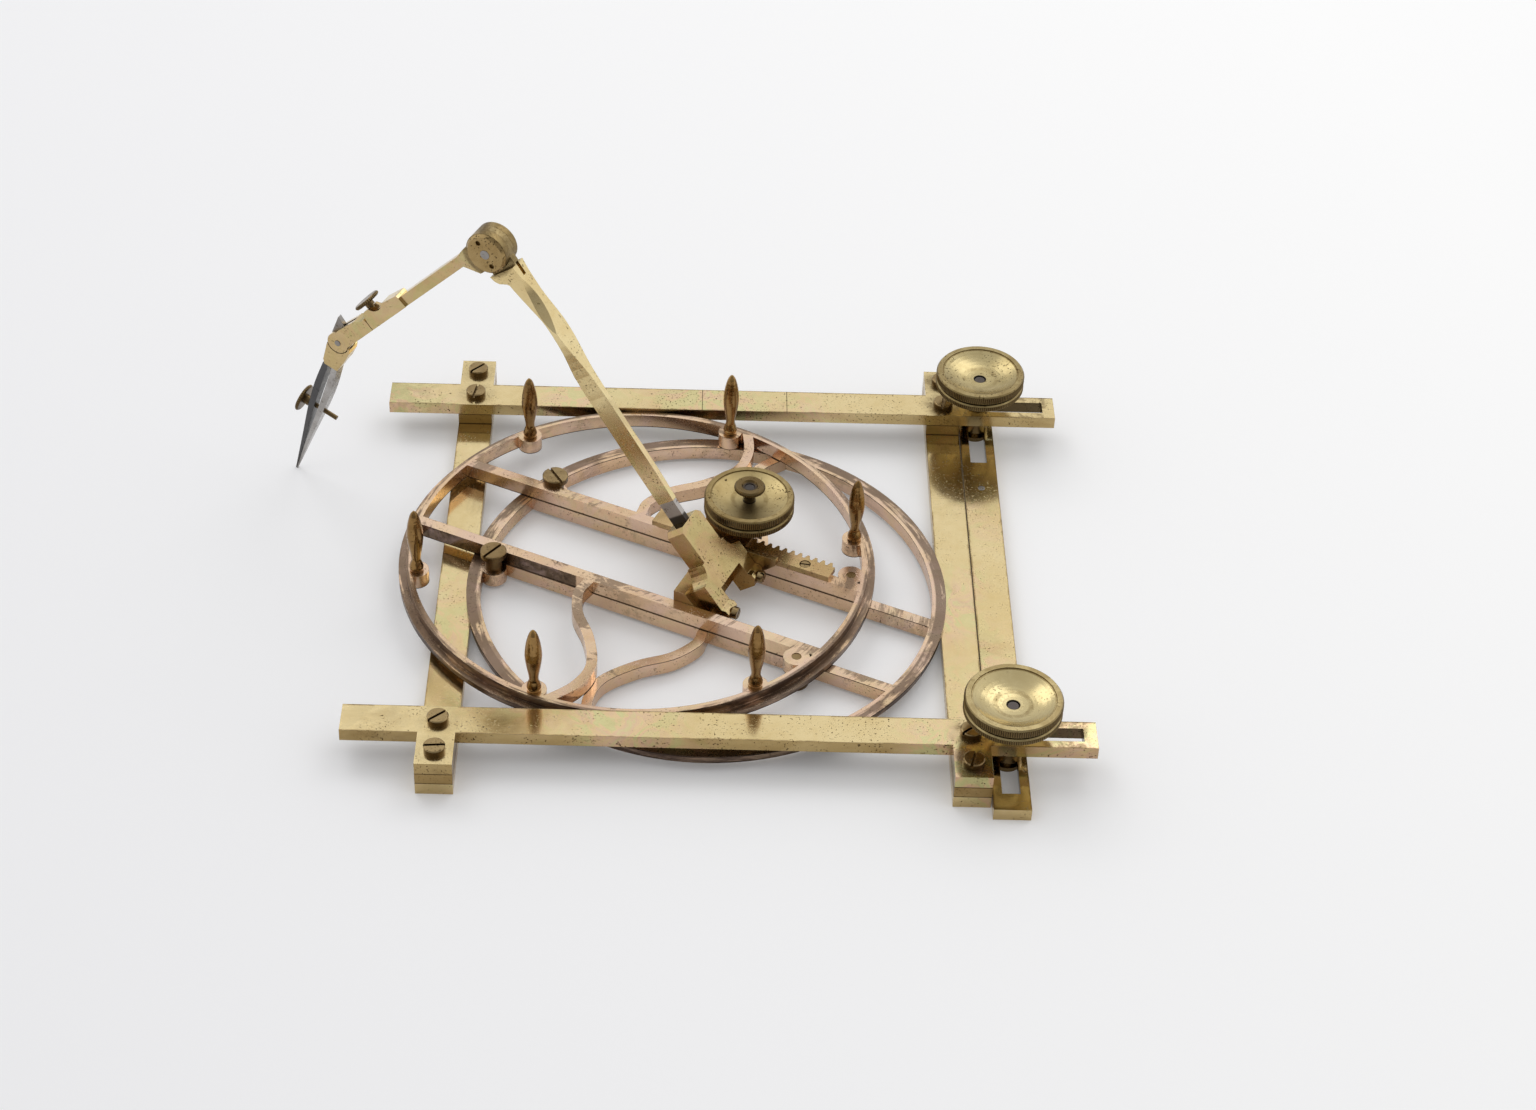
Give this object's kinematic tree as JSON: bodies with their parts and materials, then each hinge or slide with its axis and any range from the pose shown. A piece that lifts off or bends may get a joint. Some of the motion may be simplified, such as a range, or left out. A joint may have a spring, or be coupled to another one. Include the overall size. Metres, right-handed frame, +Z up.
{
  "type": "ellipsograph",
  "caption": "Brass ellipsograph: offset rings running in a square frame of crossed rails carry a rack-set compass arm with a ruling pen round an ellipse.",
  "frame": {"origin": "middle of the square window between the rails, on the underside of the lower rails", "axes": "+Z up from the paper, +X along the upper rails towards the anchor bar, +Y along the lower rails towards the back"},
  "size_m": [0.2492, 0.2014, 0.1177],
  "materials": {
    "brass": "polished, tarnished with age",
    "disc_brass": "polished, tarnished with age",
    "ring_brass": "polished, tarnished with age",
    "handle_brass": "polished, tarnished with age",
    "screw_brass": "polished, tarnished with age",
    "rack_brass": "polished, tarnished with age",
    "pinion_brass": "polished, tarnished with age",
    "bracket_brass": "polished, tarnished with age",
    "leg_brass": "polished, tarnished with age",
    "pen_brass": "polished, tarnished with age",
    "steel": "polished, greyed with age"
  },
  "bodies": {
    "frame": {"back_rail": "brass", "front_rail": "brass", "left_rail": "brass", "right_rail": "brass", "corner_spacers": "brass", "corner_screws": "screw_brass"},
    "back_stud": {"back_stud": "pinion_brass"},
    "front_stud": {"front_stud": "pinion_brass"},
    "anchor_bar": {"anchor_bar": "brass", "anchor_pin": "steel"},
    "back_clamp_nut": {"back_clamp_nut": "disc_brass"},
    "front_clamp_nut": {"front_clamp_nut": "disc_brass"},
    "back_top_disc": {"back_top_disc": "disc_brass"},
    "front_top_disc": {"front_top_disc": "disc_brass"},
    "upper_ring": {"upper_ring": "ring_brass", "ring_handles": "handle_brass", "upper_guide_screws": "screw_brass", "rack": "rack_brass", "rack_screws": "screw_brass"},
    "lower_ring": {"lower_ring": "ring_brass", "lower_guide_screws": "screw_brass"},
    "arm": {"carriage": "rack_brass", "carriage_screws": "screw_brass", "pinion_drum": "rack_brass", "arm_bracket": "bracket_brass", "bracket_screws": "screw_brass", "arm_tang": "steel", "long_leg": "leg_brass"},
    "pinion": {"pinion": "pinion_brass", "pinion_knob": "disc_brass"},
    "pinion_lock_disc": {"pinion_lock_disc": "disc_brass"},
    "knob_nut": {"knob_nut": "disc_brass"},
    "pen_leg": {"pen_leg": "leg_brass", "joint_pin": "steel", "joint_caps": "leg_brass", "knee_piece": "leg_brass", "knee_pin": "steel"},
    "thumb_screw": {"thumb_screw": "screw_brass"},
    "pen": {"pen_tongue": "steel", "pen_block": "pen_brass", "pen_blades": "steel"},
    "pen_screw": {"pen_screw": "screw_brass"}
  },
  "joints": [
    {"name": "ring_offset", "type": "slide", "parent": "frame", "child": "upper_ring", "axis": [1, 0, 0], "range_m": [-0.0127, 0.0217]},
    {"name": "lower_ring_offset", "type": "slide", "parent": "frame", "child": "lower_ring", "axis": [0, 1, 0], "range_m": [-0.006, 0.0101]},
    {"name": "arm_traverse", "type": "slide", "parent": "upper_ring", "child": "arm", "axis": [0.9085, -0.4179, 0], "range_m": [-0.018, 0.017]},
    {"name": "pinion_spin", "type": "hinge", "parent": "arm", "child": "pinion", "pos_m": [0.01284, 0.01314, 0.0115], "axis": [0, 0, 1], "range_deg": [-175, 185]},
    {"name": "lock_disc_spin", "type": "hinge", "parent": "pinion", "child": "pinion_lock_disc", "pos_m": [0.01284, 0.01314, 0.0198], "axis": [0, 0, 1], "continuous": true},
    {"name": "knob_nut_spin", "type": "hinge", "parent": "pinion", "child": "knob_nut", "pos_m": [0.01284, 0.01314, 0.026], "axis": [0, 0, 1], "continuous": true},
    {"name": "back_stud_slide", "type": "slide", "parent": "frame", "child": "back_stud", "axis": [1, 0, 0], "range_m": [0, 0.0185]},
    {"name": "front_stud_slide", "type": "slide", "parent": "frame", "child": "front_stud", "axis": [1, 0, 0], "range_m": [0, 0.0185]},
    {"name": "anchor_bar_slide", "type": "slide", "parent": "back_stud", "child": "anchor_bar", "axis": [0, 1, 0], "range_m": [-0.0138, 0.0138]},
    {"name": "back_clamp_spin", "type": "hinge", "parent": "back_stud", "child": "back_clamp_nut", "pos_m": [0.0888, 0.0775, 0.02], "axis": [0, 0, 1], "continuous": true},
    {"name": "back_top_spin", "type": "hinge", "parent": "back_stud", "child": "back_top_disc", "pos_m": [0.0888, 0.0775, 0.0225], "axis": [0, 0, 1], "continuous": true},
    {"name": "front_clamp_spin", "type": "hinge", "parent": "front_stud", "child": "front_clamp_nut", "pos_m": [0.0888, -0.0775, 0.02], "axis": [0, 0, 1], "continuous": true},
    {"name": "front_top_spin", "type": "hinge", "parent": "front_stud", "child": "front_top_disc", "pos_m": [0.0888, -0.0775, 0.0225], "axis": [0, 0, 1], "continuous": true},
    {"name": "compass_joint", "type": "hinge", "parent": "arm", "child": "pen_leg", "pos_m": [-0.06611, 0.02042, 0.111], "axis": [0.4179, 0.9085, 0], "range_deg": [-3, 75]},
    {"name": "thumb_screw_spin", "type": "hinge", "parent": "pen_leg", "child": "thumb_screw", "pos_m": [-0.10595, 0.03875, 0.07649], "axis": [0.6546, -0.3011, -0.6934], "continuous": true},
    {"name": "knee_joint", "type": "hinge", "parent": "pen_leg", "child": "pen", "pos_m": [-0.11579, 0.04327, 0.0591], "axis": [0.4179, 0.9085, 0], "range_deg": [-6, 20]},
    {"name": "pen_screw_spin", "type": "hinge", "parent": "pen", "child": "pen_screw", "pos_m": [-0.12549, 0.04773, 0.02861], "axis": [0.8575, -0.3944, -0.3305], "continuous": true}
  ],
  "couplings": [
    {"joint": "lower_ring_offset", "follows": "ring_offset", "ratio": 0.45995},
    {"joint": "pinion_spin", "follows": "arm_traverse", "rad_per_m": -174.63},
    {"joint": "front_stud_slide", "follows": "back_stud_slide", "ratio": 1}
  ]
}
